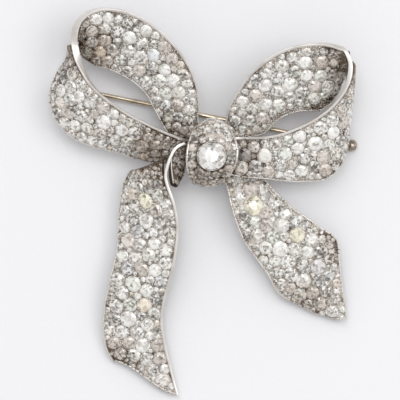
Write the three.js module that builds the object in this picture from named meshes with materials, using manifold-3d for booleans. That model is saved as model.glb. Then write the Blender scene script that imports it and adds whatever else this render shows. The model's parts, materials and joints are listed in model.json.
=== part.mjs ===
// A ribbon-bow brooch: two raised loops, two tails and a knot of diamond-set sheet, with a hinged pin and a
// sliding tube clasp behind. Millimetres. The brooch lies face up: +X to its right, +Y to the top of the bow,
// +Z out of its face. The origin is under the middle of the bow, level with the lowest points it rests on.

import * as THREE from 'three';
import { mergeVertices } from 'three/addons/utils/BufferGeometryUtils.js';
import Module from 'manifold-3d';

const wasm = await Module();
wasm.setup();

// ---------------------------------------------------------------- driving dimensions

const bowWidth = 49.2; // across both loops
const bowHeight = 62.4; // top of the left loop to the tip of the left tail
const drawnWidth = 49.2; // the size of bow that the guide points below are drawn for
const drawnHeight = 62.4;
const outlineMiddle = [0, 0.24]; // the middle of the bow's outline, which goes over the origin

const sheetThickness = 1.2; // the pierced, stone-set sheet
const foldThickness = 0.9; // the short turned-under sheet beside the knot
const edgeRise = 0.35; // how far a plain edge strip stands past the sheet's edge
const tailEdgeWidth = 0.6; // the plain strip down the left tail
const solderGap = 0.15; // between pieces that are soldered together
const leftTailBulge = 0.4; // how far each sheet is domed across its width
const rightTailBulge = 0.5;
const frontBulge = 0.3;
const knotBulge = 0.45;
const endWave = 0.6; // how far the left tail's end swings out and in
const waveReach = 8; // higher keeps the swing nearer to the end

const seatGap = 0.08; // between a stone and its seat
const girdleRise = 0.05; // how far a stone's girdle sits above the sheet
const crownRatio = 0.2; // crown height over stone diameter
const pavilionRatio = 0.35; // pavilion depth over stone diameter
const tableRatio = 0.52; // table over stone diameter
const starRise = 0.62; // how far up the crown its star facets end
const lowerReach = 0.42; // where the lower facets meet, over the radius
const lowerDepth = 0.64; // and over the pavilion depth

const centreStone = 4.1; // across the cushion-shaped centre stone
const centrePavilionRatio = 0.4;
const cushionPower = 2.5; // 2 is a round outline, more is squarer
const colletWall = 0.35;
const stoneRise = 0.45; // its girdle above the knot
const colletLip = 0.14; // the collet's edge above and below the girdle
const colletHeight = 2.4;
const colletTaper = 0.62; // its lower radius over its upper one
const knotCentre = [1.25, 7.3];

const plateSize = [5.4, 7.2]; // the flat plate behind the knot
const plateThickness = 0.8;
const plateBack = 2.3; // the height of its flat rear face
const coreRadius = 1.1;

const pinDiameter = 0.8;
const pinTipLength = 7; // the ground point
const pivotPoint = [-20.1, 17.9];
const claspPoint = [24.55, 8.86]; // the end of the drawn-out knob
const knuckleRadius = 0.85;
const knuckleWidth = pinDiameter; // the knuckle is the wire's end, hammered round
const rivetRadius = 0.28;
const runningGap = 0.05; // between the rivet and its holes
const sideGap = 0.08; // between the knuckle and the ears
const earThickness = 0.45;
const rivetHead = 0.16;
const rivetHeadRatio = 1.8; // the head's radius over the rivet's
const bracketPlate = 0.5;

const pointGap = 0.08; // between the pin and the sleeve that covers its point
const tubeWall = 0.2;
const tubeLength = 5.6;
const tubeSlotLength = 3; // the open stretch that the pin's point drops out of
const slotGap = 0.2; // on each side of the pin in that stretch
const slideGap = 0.1; // between the sliding sleeve and the tube
const sleeveWall = 0.27;
const slideTravel = 2.3;
const knobLength = 1.25;
const knobRadius = 0.95;
const tipGap = 0.35; // between the pin's point and the drawn-out sleeve
const postRadius = 0.6;

const loopSteps = 26; // facets along a loop band
const tailSteps = 26;
const acrossSteps = 4;
const foldSteps = 12;
const knotSteps = 18;
const tailEdgeSteps = 40;

// ---------------------------------------------------------------- guide points
// Each station is one line across a ribbon, [edge A, edge B], and edge A is the one that stands higher.

const clearOf = (low) => low + sheetThickness; // a coordinate one sheet past another ribbon's

const leftBackStations = [
  [[-0.3, 11.6, 4.6], [-1.1, 9.4, 3.8]],
  [[-1.0, 13.2, 4.9], [-2.6, 9.9, 3.9]],
  [[-0.9, 15.6, 5.7], [-5.1, 10.6, 4.2]],
  [[-1.6, 19.8, 7.1], [-7.3, 14.1, 4.5]],
  [[-3.8, 23.8, 8.2], [-9.2, 17.6, 4.7]],
  [[-7.6, 27.7, 8.9], [-11.8, 19.8, 4.9]],
  [[-12.1, 30.2, 9.3], [-15.0, 21.4, 4.9]],
  [[-16.4, 30.7, 9.4], [-17.4, 22.2, 4.6]],
  [[-19.1, 29.5, 9.3], [-18.7, 23.3, 4.2]],
  [[-20.3, 27.6, 9.1], [-19.2, 24.5, 3.8]],
  [[-20.6, 25.7, 8.9], [-19.7, 25.4, 3.6]],
];

const leftFrontStations = [
  [[-20.6, 25.2, 8.8], [-20.6, 24.7, 3.5]],
  [[-20.2, 23.0, 8.7], [-21.3, 22.7, 3.5]],
  [[-19.4, 21.0, 8.6], [-23.0, 20.0, 3.7]],
  [[-18.4, 19.2, 8.5], [-24.1, 17.0, 4.0]],
  [[-16.9, 17.5, 8.4], [-23.7, 13.9, 4.2]],
  [[-14.8, 15.8, 8.3], [-21.5, 11.1, 4.3]],
  [[-12.1, 14.0, 8.1], [-18.2, 9.4, 4.3]],
  [[-9.2, 12.5, 7.7], [-13.7, 8.3, 4.1]],
  [[-6.2, 11.1, 7.0], [-9.4, 7.0, 3.7]],
  [[-3.4, 10.0, 6.0], [-6.0, 6.6, 3.4]],
  [[-1.3, 9.2, 5.3], [-3.2, 6.2, 3.3]],
];

const rightBackStations = [
  [[2.9, 11.7, 4.6], [3.8, 9.4, 3.9]],
  [[3.8, 13.2, 5.0], [5.3, 10.2, 4.1]],
  [[4.0, 14.6, 5.6], [7.8, 10.6, 4.3]],
  [[5.2, 17.0, 6.8], [9.8, 11.2, 4.5]],
  [[7.2, 20.0, 7.9], [11.1, 12.6, 4.7]],
  [[9.8, 22.4, 8.6], [13.0, 14.0, 4.9]],
  [[13.5, 24.4, 9.1], [15.9, 14.8, 4.9]],
  [[17.8, 25.2, 9.4], [18.8, 14.9, 4.8]],
  [[21.0, 25.0, 9.4], [20.5, 16.4, 4.5]],
  [[22.7, clearOf(23), 9.2], [21.1, 18.9, 4.1]],
  [[23.1, clearOf(22), 9.0], [21.7, clearOf(20.7), 3.9]],
];

const rightFrontStations = [
  [[23.25, 22.4, 8.9], [22.9, 20.9, 3.9]],
  [[23.15, 20.3, 8.8], [22.8, 17.6, 3.8]],
  [[22.65, 18.5, 8.7], [22.75, 13.9, 3.8]],
  [[21.7, 16.7, 8.6], [22.6, 11.0, 3.9]],
  [[20.2, 14.9, 8.5], [22.3, 8.4, 4.0]],
  [[17.8, 13.1, 8.4], [21.4, 5.8, 4.2]],
  [[15.1, 11.7, 8.2], [19.5, 4.0, 4.4]],
  [[11.6, 10.5, 7.8], [15.4, 3.5, 4.7]],
  [[8.4, 10.1, 7.1], [10.6, 3.9, clearOf(4)]],
  [[5.2, 10.0, 6.3], [5.0, 4.4, clearOf(4.4)]],
  [[3.1, 9.6, 6.6], [3.1, 5.0, clearOf(4.8)]],
];

const leftTailStations = [
  [[-6.1, 6.9, 6.9], [-8.2, 5.9, 5.0]],
  [[-6.2, 4.8, 7.0], [-10.5, 5.0, 3.9]],
  [[-5.8, 2.6, 6.9], [-12.3, 2.9, 3.0]],
  [[-4.8, -0.3, 6.6], [-13.0, -0.5, 2.4]],
  [[-4.2, -3.8, 6.0], [-13.2, -4.5, 2.4]],
  [[-4.5, -7.7, 5.3], [-13.6, -8.2, 2.6]],
  [[-5.4, -12.2, 4.3], [-14.7, -12.3, 2.6]],
  [[-6.4, -15.7, 3.3], [-15.6, -16.3, 2.1]],
  [[-6.8, -19.2, 2.4], [-15.9, -20.2, 1.4]],
  [[-6.2, -23.0, 1.6], [-15.5, -23.0, 0.9]],
  [[-5.2, -27.1, 0.9], [-15.0, -24.3, 0.7]],
  [[-4.2, -30.9, 0.62], [-14.4, -25.2, 0.62]],
];

const rightTailStations = [
  [[3.0, 4.9, 3.9], [8.4, 4.8, 3.5]],
  [[3.9, 2.2, 4.1], [10.5, 2.2, 3.4]],
  [[4.4, -0.3, 4.3], [12.6, 0.1, 3.3]],
  [[5.3, -3.2, 4.1], [14.6, -1.6, 3.3]],
  [[6.6, -6.2, 3.6], [16.8, -2.9, 3.3]],
  [[8.4, -8.8, 3.1], [18.9, -4.3, 3.0]],
  [[10.3, -11.5, 2.6], [21.15, -5.95, 2.4]],
  [[11.5, -13.7, 2.2], [21.45, -8.4, 2.0]],
  [[12.7, -14.8, 1.9], [21.8, -11.5, 1.6]],
  [[15.1, -15.8, 1.4], [22.1, -14.5, 1.2]],
  [[18.6, -17.5, 0.9], [22.5, -16.8, 0.85]],
  [[21.9, -18.5, 0.64], [22.8, -18.4, 0.64]],
];

const foldStations = [
  [[-3.0, 9.3, 7.2], [-2.4, 8.8, 6.8]],
  [[-4.3, 8.9, 7.5], [-2.8, 7.7, 6.2]],
  [[-5.2, 7.8, 7.4], [-3.1, 5.9, 5.6]],
  [[-5.4, 6.2, 7.2], [-3.6, 4.2, 5.2]],
  [[-5.35, 4.6, 7.1], [-4.2, 3.1, 5.4]],
  [[-5.1, 3.0, 6.9], [-4.6, 2.3, 6.2]],
];

const knotStations = [
  [[0.3, 12.1, 4.6], [2.5, 12.2, 4.6]],
  [[-0.1, 12.0, 6.3], [2.9, 12.1, 6.3]],
  [[-1.2, 11.3, 8.0], [3.8, 11.4, 8.0]],
  [[-2.0, 9.9, 9.3], [4.8, 9.9, 9.3]],
  [[-2.5, 8.2, 9.9], [5.3, 8.2, 9.9]],
  [[-2.6, 6.6, 9.8], [5.1, 6.7, 9.8]],
  [[-2.3, 5.0, 8.8], [4.3, 5.2, 8.8]],
  [[-1.8, 3.9, 7.2], [3.5, 4.1, 7.2]],
  [[-1.3, 3.5, 5.6], [2.9, 3.7, 5.6]],
];

// The larger stones of each ribbon: [x, y, diameter], seen from the front.

const leftBackStones = [
  [-15.2, 29.3, 1.75],
  [-9.2, 27.3, 1.9],
  [-11.8, 26.2, 2.05],
  [-8.0, 23.4, 2.05],
  [-6.2, 21.1, 1.9],
  [-16.6, 23.9, 1.9],
];

const leftFrontStones = [
  [-23.0, 15.9, 1.75],
  [-19.8, 16.8, 1.75],
  [-16.0, 12.7, 2.4],
  [-13.1, 11.4, 2.05],
  [-20.5, 12.2, 1.75],
];

const rightBackStones = [
  [9.8, 18.5, 2.25],
  [13.7, 18.7, 2.4],
  [16.1, 22.1, 2.25],
  [18.7, 20.0, 1.9],
  [9.9, 15.5, 2.05],
  [6.2, 16.0, 1.75],
];

const rightFrontStones = [
  [6.6, 7.5, 2.05],
  [9.7, 7.4, 2.4],
  [12.9, 7.7, 2.25],
  [15.3, 10.5, 2.05],
  [17.8, 9.3, 2.4],
  [20.7, 11.1, 2.05],
];

const leftTailStones = [
  [-9.2, 0.2, 2.4],
  [-9.1, -2.9, 2.4],
  [-12.0, -6.1, 2.25],
  [-7.8, -6.6, 1.9],
  [-7.8, -10.9, 2.05],
  [-11.2, -13.1, 2.5],
  [-9.5, -16.5, 2.25],
  [-12.0, -18.7, 2.5],
  [-9.7, -22.9, 2.25],
];

const rightTailStones = [
  [7.9, -0.5, 2.85],
  [12.4, -3.8, 2.25],
  [14.9, -5.3, 2.4],
  [12.2, -7.5, 2.4],
  [18.3, -10.4, 2.4],
  [16.0, -12.6, 2.25],
];

// ---------------------------------------------------------------- solids and materials

const plan = (x, y) => [x * bowWidth / drawnWidth, y * bowHeight / drawnHeight];
const guide = ([x, y, z]) => new THREE.Vector3(...plan(x, y), z);

function metal(color, roughness) {
  return new THREE.MeshStandardMaterial({ color, metalness: 1, roughness });
}

const setSilver = () => metal(0xb9b6b1, 0.42);
const polishedSilver = () => metal(0xd6d4d0, 0.22);
const paleGold = () => metal(0xd3bd93, 0.28);
const diamond = (color = 0xe8ecef) =>
  new THREE.MeshStandardMaterial({ color, metalness: 0, roughness: 0.04 });

function closedGeometry(points, index) {
  const positions = new Float32Array(points.flatMap((p) => p.toArray()));
  let volume = 0;
  for (let i = 0; i < index.length; i += 3) {
    const [a, b, c] = [points[index[i]], points[index[i + 1]], points[index[i + 2]]];
    volume += a.dot(new THREE.Vector3().crossVectors(b, c));
  }
  const outward = volume > 0 ? index : index.slice().reverse();
  const geometry = new THREE.BufferGeometry();
  geometry.setAttribute('position', new THREE.BufferAttribute(positions, 3));
  geometry.setIndex(outward);
  geometry.computeVertexNormals();
  return geometry;
}

function toSolid(geometry, matrix = new THREE.Matrix4()) {
  const bare = geometry.clone().applyMatrix4(matrix);
  bare.deleteAttribute('normal');
  bare.deleteAttribute('uv');
  const merged = mergeVertices(bare, 1e-5);
  return new wasm.Manifold(new wasm.Mesh({
    numProp: 3,
    vertProperties: new Float32Array(merged.attributes.position.array),
    triVerts: new Uint32Array(merged.index.array),
  }));
}

function fromSolid(solid) {
  const { vertProperties, triVerts } = solid.getMesh();
  const geometry = new THREE.BufferGeometry();
  geometry.setAttribute('position', new THREE.BufferAttribute(new Float32Array(vertProperties), 3));
  geometry.setIndex(new THREE.BufferAttribute(new Uint32Array(triVerts), 1));
  geometry.computeVertexNormals();
  return geometry;
}

function mesh(name, geometry, material) {
  const made = new THREE.Mesh(geometry, material);
  made.name = name;
  return made;
}

// A turned piece: [radius, position] pairs along +X, that start and end on the axis or close on themselves.
function turned(profile, segments) {
  const points = profile.map(([r, s]) => new THREE.Vector2(r, s));
  return new THREE.LatheGeometry(points, segments).rotateZ(-Math.PI / 2);
}

// ---------------------------------------------------------------- ribbons

// A curved sheet between two edges. u runs along it, v across it from edge A to edge B.
class Ribbon {
  constructor(stations, { steps, thickness = sheetThickness, bulge = 0, wave = 0 }) {
    this.edgeA = new THREE.CatmullRomCurve3(stations.map(([a]) => guide(a)));
    this.edgeB = new THREE.CatmullRomCurve3(stations.map(([, b]) => guide(b)));
    Object.assign(this, { steps, thickness, bulge, wave, face: 1 });
    this.outward = this.edgeA.getTangent(1).add(this.edgeB.getTangent(1)).normalize();
    if (this.normal(0.5, 0.5).z < 0) this.face = -1; // the face looks up
  }

  flat(u, v) {
    const curl = this.wave * Math.sin(2 * Math.PI * v) * u ** waveReach;
    return this.edgeA.getPoint(u).lerp(this.edgeB.getPoint(u), v).addScaledVector(this.outward, curl);
  }

  normalOf(surface, u, v) {
    const step = 1e-3;
    const along = surface(Math.min(u + step, 1), v).sub(surface(Math.max(u - step, 0), v));
    const across = surface(u, Math.min(v + step, 1)).sub(surface(u, Math.max(v - step, 0)));
    return along.cross(across).normalize().multiplyScalar(this.face);
  }

  middle(u, v) {
    const lift = this.bulge * 4 * v * (1 - v);
    const normal = this.normalOf((a, b) => this.flat(a, b), u, v);
    return this.flat(u, v).addScaledVector(normal, lift);
  }

  normal(u, v) {
    return this.normalOf((a, b) => this.middle(a, b), u, v);
  }

  surface(u, v, side) {
    return this.middle(u, v).addScaledVector(this.normal(u, v), side * this.thickness / 2);
  }

  // The u and v of the point that lies at x, y when seen from the front.
  locate([x, y], side = 1) {
    const far = (u, v) => {
      const p = this.surface(u, v, side);
      return Math.hypot(p.x - x, p.y - y);
    };
    let best = { u: 0.5, v: 0.5 };
    const clamp = (value) => Math.min(Math.max(value, 0), 1);
    for (let reach = 0.5, cells = 12; reach > 1e-4; reach *= 0.3, cells = 4) {
      const { u: u0, v: v0 } = best;
      for (let i = -cells; i <= cells; i++) {
        for (let j = -cells; j <= cells; j++) {
          const u = clamp(u0 + reach * i / cells);
          const v = clamp(v0 + reach * j / cells);
          const distance = far(u, v);
          if (best.distance === undefined || distance < best.distance) best = { u, v, distance };
        }
      }
    }
    return best;
  }

  geometry() {
    const rows = this.steps + 1;
    const columns = acrossSteps + 1;
    const points = [];
    for (const side of [1, -1]) {
      for (let i = 0; i < rows; i++) {
        for (let j = 0; j < columns; j++) {
          points.push(this.surface(i / this.steps, j / acrossSteps, side));
        }
      }
    }
    const at = (side, i, j) => (side * rows + i) * columns + j;
    const index = [];
    const quad = (a, b, c, d) => index.push(a, b, c, a, c, d);
    for (let i = 0; i < this.steps; i++) {
      for (let j = 0; j < acrossSteps; j++) {
        quad(at(0, i, j), at(0, i + 1, j), at(0, i + 1, j + 1), at(0, i, j + 1));
        quad(at(1, i, j), at(1, i, j + 1), at(1, i + 1, j + 1), at(1, i + 1, j));
      }
      quad(at(0, i, 0), at(1, i, 0), at(1, i + 1, 0), at(0, i + 1, 0));
      const last = acrossSteps;
      quad(at(0, i + 1, last), at(1, i + 1, last), at(1, i, last), at(0, i, last));
    }
    for (let j = 0; j < acrossSteps; j++) {
      quad(at(0, 0, j + 1), at(1, 0, j + 1), at(1, 0, j), at(0, 0, j));
      quad(at(0, this.steps, j), at(1, this.steps, j), at(1, this.steps, j + 1), at(0, this.steps, j + 1));
    }
    return closedGeometry(points, index);
  }
}

// A bar of oblong section through a row of section frames {centre, side, rise}, closed at both ends.
function bar(frames) {
  const points = [];
  for (const { centre, side, rise } of frames) {
    for (const [a, b] of [[-1, 0], [1, 0], [1, 1], [-1, 1]]) {
      points.push(centre.clone().addScaledVector(side, a).addScaledVector(rise, b));
    }
  }
  const index = [];
  for (let i = 0; i + 1 < frames.length; i++) {
    for (let k = 0; k < 4; k++) {
      const [a, b] = [4 * i + k, 4 * i + (k + 1) % 4];
      index.push(a, b, b + 4, a, b + 4, a + 4);
    }
  }
  const last = 4 * (frames.length - 1);
  index.push(0, 2, 1, 0, 3, 2, last, last + 1, last + 2, last, last + 2, last + 3);
  return closedGeometry(points, index);
}

// ---------------------------------------------------------------- stones

// An old brilliant: eight-sided table, sixteen-sided knife-edge girdle at z = 0, pointed below.
function brilliant(diameter, depthRatio = pavilionRatio, power = 2) {
  const radius = diameter / 2;
  const crown = diameter * crownRatio;
  const depth = diameter * depthRatio;
  const ring = (count, offset, share, z) => Array.from({ length: count }, (_, k) => {
    const angle = (k + offset) * 2 * Math.PI / count;
    const [c, s] = [Math.cos(angle), Math.sin(angle)];
    const outline = (Math.abs(c) ** power + Math.abs(s) ** power) ** (-1 / power);
    return new THREE.Vector3(c, s, 0).multiplyScalar(radius * share * outline).setZ(z);
  });
  const points = [
    ...ring(8, 0, tableRatio, crown),
    ...ring(8, 0.5, (1 + tableRatio) / 2, crown * starRise),
    ...ring(16, 0, 1, 0),
    ...ring(8, 0.5, lowerReach, -depth * lowerDepth),
    new THREE.Vector3(0, 0, -depth),
  ];
  const table = (k) => k % 8;
  const star = (k) => 8 + (k + 8) % 8;
  const girdle = (k) => 16 + (k + 16) % 16;
  const lower = (k) => 32 + (k + 8) % 8;
  const culet = 40;
  const index = [];
  for (let k = 1; k < 7; k++) index.push(table(0), table(k), table(k + 1));
  for (let k = 0; k < 8; k++) {
    index.push(table(k), star(k), table(k + 1));
    index.push(table(k), star(k - 1), girdle(2 * k), table(k), girdle(2 * k), star(k));
    index.push(star(k), girdle(2 * k), girdle(2 * k + 1), star(k), girdle(2 * k + 1), girdle(2 * k + 2));
    index.push(culet, girdle(2 * k), lower(k - 1), culet, lower(k), girdle(2 * k));
    index.push(lower(k), girdle(2 * k + 1), girdle(2 * k), lower(k), girdle(2 * k + 2), girdle(2 * k + 1));
  }
  return closedGeometry(points, index);
}

// What a stone's seat takes out of the sheet, in the stone's own frame.
function seatCutter(diameter) {
  const reach = diameter / 2 + seatGap;
  const depth = diameter * pavilionRatio + seatGap;
  const above = diameter * crownRatio + seatGap;
  const profile = [[0, -depth], [reach * 0.3, -depth], [reach, 0], [reach, above], [0, above]];
  return new THREE.LatheGeometry(profile.map(([r, z]) => new THREE.Vector2(r, z)), 10).rotateX(Math.PI / 2);
}

// Sets stones into a ribbon: returns the cut sheet and the stones, as meshes.
function setRibbon(name, stoneName, ribbon, stones) {
  let sheet = toSolid(ribbon.geometry());
  const gems = stones.map(([x, y, diameter], k) => {
    const { u, v } = ribbon.locate(plan(x, y));
    const normal = ribbon.normal(u, v);
    const along = ribbon.middle(Math.min(u + 0.01, 1), v).sub(ribbon.middle(Math.max(u - 0.01, 0), v));
    const across = new THREE.Vector3().crossVectors(normal, along).normalize();
    const basis = new THREE.Matrix4().makeBasis(across.clone().cross(normal), across, normal);
    const gem = mesh(`${stoneName}_${k + 1}`, brilliant(diameter), diamond());
    gem.position.copy(ribbon.surface(u, v, 1).addScaledVector(normal, girdleRise));
    gem.quaternion.setFromRotationMatrix(basis);
    gem.updateMatrix();
    sheet = sheet.subtract(toSolid(seatCutter(diameter), gem.matrix));
    return gem;
  });
  return [mesh(name, fromSolid(sheet), setSilver()), ...gems];
}

// ---------------------------------------------------------------- the bow

const leftBack = new Ribbon(leftBackStations, { steps: loopSteps });
const leftFront = new Ribbon(leftFrontStations, { steps: loopSteps, bulge: frontBulge });
const rightBack = new Ribbon(rightBackStations, { steps: loopSteps });
const rightFront = new Ribbon(rightFrontStations, { steps: loopSteps, bulge: frontBulge });
const leftTail = new Ribbon(leftTailStations, { steps: tailSteps, bulge: leftTailBulge, wave: endWave });
const rightTail = new Ribbon(rightTailStations, { steps: tailSteps, bulge: rightTailBulge });
const fold = new Ribbon(foldStations, { steps: foldSteps, thickness: foldThickness });
const knot = new Ribbon(knotStations, { steps: knotSteps, bulge: knotBulge });

// The plain polished edge of a loop, along edge A of its back band and on round its front band.
function loopEdge(name, back, front) {
  const frames = [];
  for (const [ribbon, turn] of [[back, 1], [front, -1]]) {
    for (let i = 0; i <= ribbon.steps; i++) {
      const u = i / ribbon.steps;
      const top = ribbon.middle(u, 0);
      const rise = top.clone().sub(ribbon.middle(u, 0.05)).normalize();
      frames.push({
        centre: top.addScaledVector(rise, solderGap),
        side: ribbon.normal(u, 0).multiplyScalar(turn * sheetThickness / 2),
        rise: rise.multiplyScalar(edgeRise),
      });
    }
  }
  return mesh(name, bar(frames), polishedSilver());
}

function tailEdge(name) {
  const start = foldStations.slice(0, 3).map(([a]) => guide(a));
  const tail = leftTailStations.slice(1).map(([a]) => guide(a));
  const path = new THREE.CatmullRomCurve3([...start, ...tail]);
  const up = new THREE.Vector3(0, 0, 1);
  const frames = [];
  for (let i = 0; i <= tailEdgeSteps; i++) {
    const u = i / tailEdgeSteps;
    const side = path.getTangent(u).cross(up).setLength(tailEdgeWidth / 2);
    const centre = path.getPoint(u).addScaledVector(up, sheetThickness / 2 + solderGap);
    frames.push({ centre, side, rise: up.clone().multiplyScalar(edgeRise) });
  }
  return mesh(name, bar(frames), polishedSilver());
}

function knotPieces() {
  const [x, y] = plan(...knotCentre);
  const { u, v } = knot.locate([x, y]);
  const seat = knot.surface(u, v, 1);
  const girdleZ = seat.z + stoneRise;
  const top = girdleZ + colletLip;
  const bottom = top - colletHeight;
  const inner = centreStone / 2 * 2 ** (0.5 - 1 / cushionPower) + seatGap;
  const outer = inner + colletWall;
  const lathe = (profile) =>
    new THREE.LatheGeometry(profile.map(([r, z]) => new THREE.Vector2(r, z)), 32).rotateX(Math.PI / 2);
  const ring = [
    [outer, top], [inner, top], [inner, girdleZ - colletLip], [inner * colletTaper, bottom],
    [outer * colletTaper, bottom], [outer, top],
  ];
  const collet = mesh('centre_collet', lathe(ring), polishedSilver());
  collet.position.set(x, y, 0);
  const hole = [
    [0, bottom - 1], [outer * colletTaper + solderGap, bottom - 1], [outer * colletTaper + solderGap, bottom],
    [outer + solderGap, top], [outer + solderGap, top + 1], [0, top + 1],
  ];
  const cutter = toSolid(lathe(hole), new THREE.Matrix4().makeTranslation(x, y, 0));
  const band = mesh('knot_band', fromSolid(toSolid(knot.geometry()).subtract(cutter)), setSilver());
  const stone = mesh('centre_diamond', brilliant(centreStone, centrePavilionRatio, cushionPower), diamond());
  stone.position.set(x, y, girdleZ);
  const plate = mesh('knot_plate', new THREE.BoxGeometry(...plateSize, plateThickness), setSilver());
  plate.position.set(x, y, plateBack + plateThickness / 2);
  const coreBottom = plateBack + plateThickness + solderGap;
  const coreHeight = bottom - solderGap - coreBottom;
  const rod = new THREE.CylinderGeometry(coreRadius, coreRadius, coreHeight, 20);
  const core = mesh('knot_core', rod, setSilver());
  core.rotation.x = Math.PI / 2;
  core.position.set(x, y, coreBottom + coreHeight / 2);
  return [band, collet, stone, plate, core];
}

// ---------------------------------------------------------------- pin and clasp

// How high a post under a ribbon may reach before it meets the ribbon's back.
function clearBelow(ribbon, [x, y], radius) {
  let lowest = Infinity;
  for (let k = 0; k < 8; k++) {
    const angle = k * Math.PI / 4;
    const { u, v } = ribbon.locate([x + radius * Math.cos(angle), y + radius * Math.sin(angle)], -1);
    lowest = Math.min(lowest, ribbon.surface(u, v, -1).z);
  }
  return lowest - solderGap;
}

const sleeveBore = pinDiameter / 2 + pointGap;
const sleeveRadius = sleeveBore + sleeveWall;
const tubeBore = sleeveRadius + slideGap;
const pinHeight = tubeBore + tubeWall; // the tube lies on the resting plane
const [pivotX, pivotY] = plan(...pivotPoint);
const [claspX, claspY] = plan(...claspPoint);
const span = Math.hypot(claspX - pivotX, claspY - pivotY);
const knobStart = span - knobLength;
const tubeEnd = knobStart - slideTravel - solderGap;
const tubeStart = tubeEnd - tubeLength;
const slotEnd = tubeStart + tubeSlotLength;
const pinTip = slotEnd - tipGap;
const bracketTop = knuckleRadius + sideGap;
const bracketWidth = knuckleWidth + 2 * (sideGap + earThickness);

function crossCylinder(radius, width, segments) {
  return new THREE.CylinderGeometry(radius, radius, width, segments);
}

function pinStem() {
  const pinRadius = pinDiameter / 2;
  const profile = [
    [0, 0], [pinRadius, 0], [pinRadius, pinTip - pinTipLength],
    [pinRadius * 0.8, pinTip - pinTipLength * 0.5], [pinRadius * 0.45, pinTip - pinTipLength * 0.14],
    [0, pinTip],
  ];
  const knuckle = toSolid(crossCylinder(knuckleRadius, knuckleWidth, 24));
  const hole = toSolid(crossCylinder(rivetRadius + runningGap, knuckleWidth * 2, 16));
  const stem = toSolid(turned(profile, 12));
  return mesh('pin_stem', fromSolid(stem.add(knuckle).subtract(hole)), paleGold());
}

function hingeBracket() {
  const ear = new THREE.Shape();
  ear.moveTo(-pinHeight, bracketTop);
  ear.lineTo(-pinHeight, 0);
  ear.absarc(0, 0, pinHeight, Math.PI, 2 * Math.PI, false);
  ear.lineTo(pinHeight, bracketTop);
  const plain = { depth: bracketWidth, bevelEnabled: false, curveSegments: 12 };
  const cheek = new THREE.ExtrudeGeometry(ear, plain);
  cheek.translate(0, 0, -bracketWidth / 2).rotateX(Math.PI / 2);
  const slot = new THREE.BoxGeometry(4 * pinHeight, knuckleWidth + 2 * sideGap, 4 * bracketTop);
  slot.translate(0, 0, -bracketTop);
  const plate = new THREE.BoxGeometry(2 * pinHeight, bracketWidth, bracketPlate);
  plate.translate(0, 0, bracketTop + bracketPlate / 2);
  const hole = crossCylinder(rivetRadius + runningGap, bracketWidth * 2, 16);
  const solid = toSolid(cheek).add(toSolid(plate)).subtract(toSolid(slot)).subtract(toSolid(hole));
  return mesh('hinge_bracket', fromSolid(solid), paleGold());
}

function hingeRivet() {
  const half = bracketWidth / 2 + runningGap;
  const headRadius = rivetRadius * rivetHeadRatio;
  const profile = [
    [0, -half - rivetHead], [headRadius * 0.8, -half - rivetHead], [headRadius, -half],
    [rivetRadius, -half], [rivetRadius, half],
    [headRadius, half], [headRadius * 0.8, half + rivetHead], [0, half + rivetHead],
  ];
  const points = profile.map(([r, y]) => new THREE.Vector2(r, y));
  return mesh('hinge_rivet', new THREE.LatheGeometry(points, 16), paleGold());
}

function claspTube() {
  const outer = tubeBore + tubeWall;
  const ring = [
    [tubeBore, tubeStart], [outer, tubeStart], [outer, tubeEnd], [tubeBore, tubeEnd], [tubeBore, tubeStart],
  ];
  const slot = new THREE.BoxGeometry(tubeSlotLength * 2, pinDiameter + 2 * slotGap, outer * 2);
  slot.translate(slotEnd - tubeSlotLength, 0, -outer);
  return mesh('clasp_tube', fromSolid(toSolid(turned(ring, 24)).subtract(toSolid(slot))), paleGold());
}

function claspSlider() {
  const boreEnd = slotEnd + slideTravel + tipGap;
  const knob = (share, out) => [knobRadius * share, knobStart + knobLength * out];
  const profile = [
    [0, boreEnd], [sleeveBore, boreEnd], [sleeveBore, slotEnd],
    [sleeveRadius, slotEnd], [sleeveRadius, knobStart],
    knob(0.92, 0), knob(1, 0.1), knob(1, 0.5), knob(0.86, 0.78), knob(0.5, 0.95), [0, span],
  ];
  return mesh('clasp_slider', turned(profile, 24), paleGold());
}

function post(name, ribbon, distance, bottom) {
  const [x, y] = [pivotX + distance * direction.x, pivotY + distance * direction.y];
  const height = clearBelow(ribbon, [x, y], postRadius) - pinHeight - bottom;
  const made = mesh(name, new THREE.CylinderGeometry(postRadius, postRadius, height, 16), setSilver());
  made.rotation.x = Math.PI / 2;
  made.position.set(distance, 0, bottom + height / 2);
  return made;
}

const direction = new THREE.Vector2(claspX - pivotX, claspY - pivotY).normalize();

// The pin and clasp are built along +X from the pivot, then turned to lie across the bow.
const fastening = new THREE.Group();
fastening.position.set(pivotX, pivotY, pinHeight);
fastening.rotation.z = direction.angle();
fastening.add(
  hingeBracket(),
  hingeRivet(),
  pinStem(),
  claspTube(),
  claspSlider(),
  post('hinge_post', leftFront, 0, bracketTop + bracketPlate + solderGap),
  post('clasp_post', rightFront, (slotEnd + tubeEnd) / 2, tubeBore + tubeWall + solderGap),
);

// ---------------------------------------------------------------- assembly

const brooch = new THREE.Group();
brooch.add(
  ...setRibbon('left_loop_back_band', 'left_back_diamond', leftBack, leftBackStones),
  ...setRibbon('left_loop_front_band', 'left_front_diamond', leftFront, leftFrontStones),
  ...setRibbon('right_loop_back_band', 'right_back_diamond', rightBack, rightBackStones),
  ...setRibbon('right_loop_front_band', 'right_front_diamond', rightFront, rightFrontStones),
  ...setRibbon('left_tail', 'left_tail_diamond', leftTail, leftTailStones),
  ...setRibbon('right_tail', 'right_tail_diamond', rightTail, rightTailStones),
  mesh('tail_fold', fold.geometry(), setSilver()),
  loopEdge('left_loop_edge', leftBack, leftFront),
  loopEdge('right_loop_edge', rightBack, rightFront),
  tailEdge('left_tail_edge'),
  ...knotPieces(),
  fastening,
);
const [middleX, middleY] = plan(...outlineMiddle);
brooch.position.set(-middleX, -middleY, 0);

export default brooch;
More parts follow.
